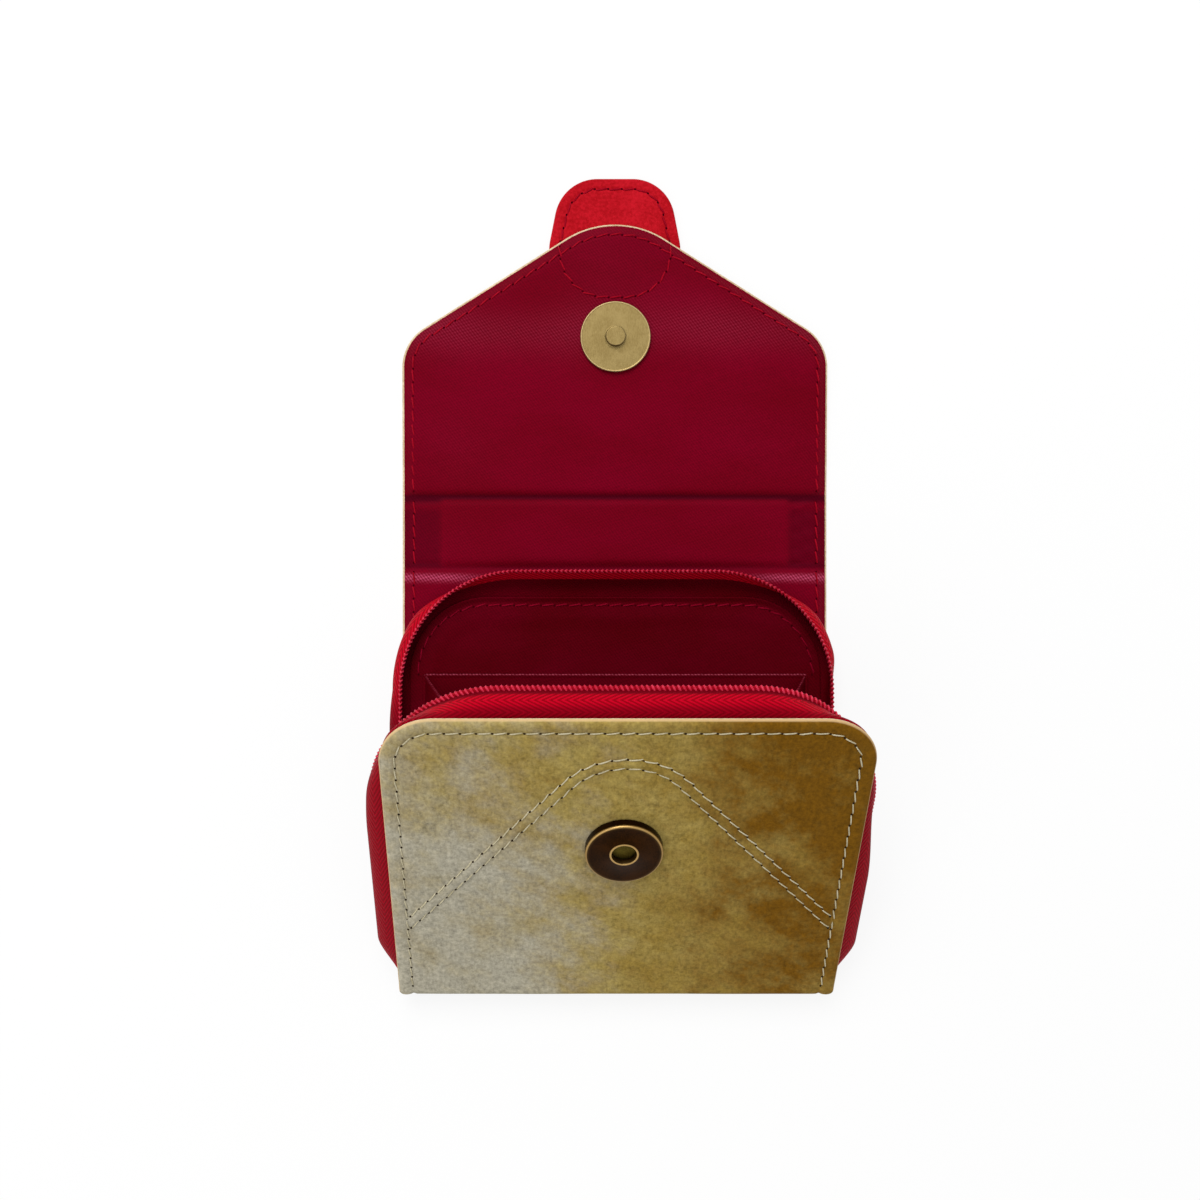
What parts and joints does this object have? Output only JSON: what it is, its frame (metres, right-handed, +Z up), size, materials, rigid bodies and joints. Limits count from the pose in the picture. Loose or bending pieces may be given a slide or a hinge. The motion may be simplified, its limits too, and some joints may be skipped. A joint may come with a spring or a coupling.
{
  "type": "coin purse",
  "caption": "Zip-around envelope coin purse with a pointed snap flap, folding spines, bellows sides and a zipped coin compartment.",
  "frame": {"origin": "centre of the back panel's outer face, on the surface the purse lies on", "axes": "+Z up out of the back panel, +Y towards the tip of the opened flap, +X to the right"},
  "size_m": [0.1226, 0.2073, 0.0602],
  "materials": {
    "suede": "matt mottled nubuck",
    "crimson_lining": "twill satin",
    "dark_lining": "twill",
    "board": "grey card",
    "red_tape": "herringbone zip tape",
    "red_nylon": "coil",
    "red_tab": "smooth",
    "brass": "satin gold",
    "dark_brass": "antique",
    "steel": "plain",
    "magnet": "sintered"
  },
  "bodies": {
    "back": {"back_skin": "suede", "back_board": "board", "back_lining": "crimson_lining", "back_zip_tape": "red_tape", "back_zip_coil": "red_nylon", "back_zip_stop_left": "brass", "back_zip_stop_right": "brass", "compartment_wall": "dark_lining", "inner_pocket": "dark_lining", "left_gusset": "dark_lining", "right_gusset": "dark_lining"},
    "top_spine": {"top_spine_skin": "suede", "top_spine_board": "board", "top_spine_lining": "crimson_lining"},
    "flap": {"flap_skin": "suede", "flap_board": "board", "flap_lining": "crimson_lining", "pull_tab": "red_tab", "flap_snap_disc": "brass", "flap_snap_stud": "brass", "flap_snap_washer": "steel"},
    "bottom_spine": {"bottom_spine_skin": "suede", "bottom_spine_board": "board", "bottom_spine_lining": "dark_lining"},
    "front": {"front_skin": "suede", "front_board": "board", "front_lining": "dark_lining", "front_zip_tape": "red_tape", "front_zip_coil": "red_nylon", "front_zip_stop_left": "brass", "front_zip_stop_right": "brass", "front_snap_cup": "dark_brass", "front_snap_magnet": "magnet", "front_snap_base": "dark_brass", "front_snap_washer": "steel"},
    "zip_slider": {"zip_slider": "brass"},
    "zip_pull": {"zip_pull": "brass"}
  },
  "joints": [
    {"name": "bottom_spine_fold", "type": "hinge", "parent": "back", "child": "bottom_spine", "pos_m": [0, -0.046, 0.0024], "axis": [-1, 0, 0], "range_deg": [0, 70], "deforming": ["left_gusset", "right_gusset"]},
    {"name": "front_fold", "type": "hinge", "parent": "bottom_spine", "child": "front", "pos_m": [0, -0.0601, 0.00753], "axis": [1, 0, 0], "range_deg": [0, 35]},
    {"name": "top_spine_fold", "type": "hinge", "parent": "back", "child": "top_spine", "pos_m": [0, 0.046, 0.0024], "axis": [1, 0, 0], "range_deg": [0, 90]},
    {"name": "flap_fold", "type": "hinge", "parent": "top_spine", "child": "flap", "pos_m": [0, 0.0642, 0.0024], "axis": [1, 0, 0], "range_deg": [0, 82]},
    {"name": "slider_travel", "type": "slide", "parent": "back", "child": "zip_slider", "axis": [0, 1, 0], "range_m": [0, 0.029]},
    {"name": "pull_swing", "type": "hinge", "parent": "zip_slider", "child": "zip_pull", "pos_m": [0.05785, -0.02, 0.00902], "axis": [-0.1279, 0, -0.9918], "range_deg": [0, 180]}
  ],
  "couplings": [
    {"joint": "front_fold", "follows": "bottom_spine_fold", "ratio": 0.5},
    {"joint": "top_spine_fold", "follows": "bottom_spine_fold", "ratio": 1.2857}
  ]
}
